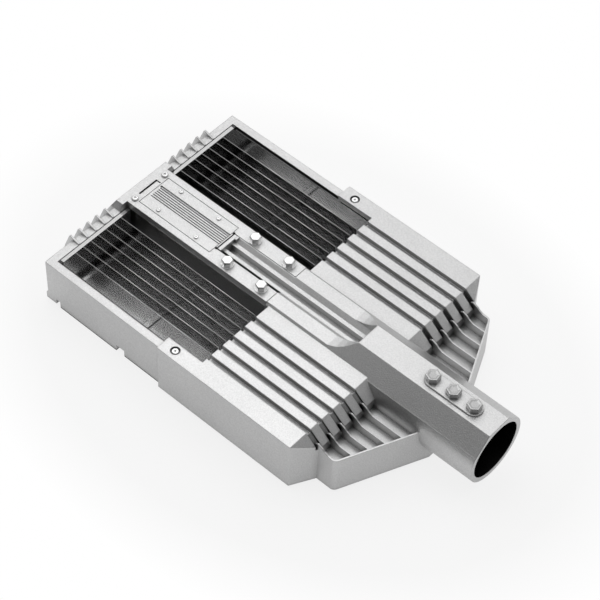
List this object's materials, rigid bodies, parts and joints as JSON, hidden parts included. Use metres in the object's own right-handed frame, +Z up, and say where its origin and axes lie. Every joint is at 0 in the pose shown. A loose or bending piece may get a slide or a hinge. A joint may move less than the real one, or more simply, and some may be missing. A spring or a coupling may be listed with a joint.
{
  "type": "led street light head",
  "caption": "Flat LED street light head with finned heat sinks, grooved rear housing and a clamped spigot for a pole arm.",
  "frame": {"origin": "centre of the spigot mouth, on the bore axis", "axes": "+X out of the spigot mouth along the bore, towards the pole arm; +Y across the head; +Z up, away from the lit face"},
  "size_m": [0.4662, 0.274, 0.0874],
  "materials": {
    "cast": "satin die casting, lightly shot blasted",
    "sink": "satin casting",
    "steel": "stainless",
    "driver_case": "satin",
    "board": "white solder mask on a metal core board",
    "led": "phosphor face",
    "lens": "clear polycarbonate",
    "seal": "silicone",
    "bezel": "matte",
    "black_plastic": "matte",
    "surge": "gloss",
    "terminal": "matte",
    "cable": "matte",
    "brass": "plain"
  },
  "bodies": {
    "root": {"beam_cover": "cast", "beam_cover_screws": "steel", "board_screws": "steel", "cable_gland": "black_plastic", "clamp_bolts": "steel", "driver": "driver_case", "earth_screw": "brass", "front_frame": "cast", "front_screws": "steel", "gear_cover": "cast", "gear_cover_gasket": "seal", "gear_cover_screws": "steel", "gear_screws": "steel", "heatsink_left": "sink", "heatsink_right": "sink", "heatsink_screws": "steel", "led_board_left_front": "board", "led_board_left_rear": "board", "led_board_right_front": "board", "led_board_right_rear": "board", "led_leads": "cable", "led_packages": "led", "lens_bezel_left_front": "bezel", "lens_bezel_left_rear": "bezel", "lens_bezel_right_front": "bezel", "lens_bezel_right_rear": "bezel", "lens_gasket_left_front": "seal", "lens_gasket_left_rear": "seal", "lens_gasket_right_front": "seal", "lens_gasket_right_rear": "seal", "lens_plate_left_front": "lens", "lens_plate_left_rear": "lens", "lens_plate_right_front": "lens", "lens_plate_right_rear": "lens", "lens_screws": "steel", "panel_screws": "steel", "rear_housing": "cast", "spine_bolts": "steel", "spine_panel": "cast", "spine_washers": "steel", "supply_lead": "cable", "surge_protector": "surge", "tab_screws": "steel", "terminal_block": "terminal"}
  },
  "joints": []
}
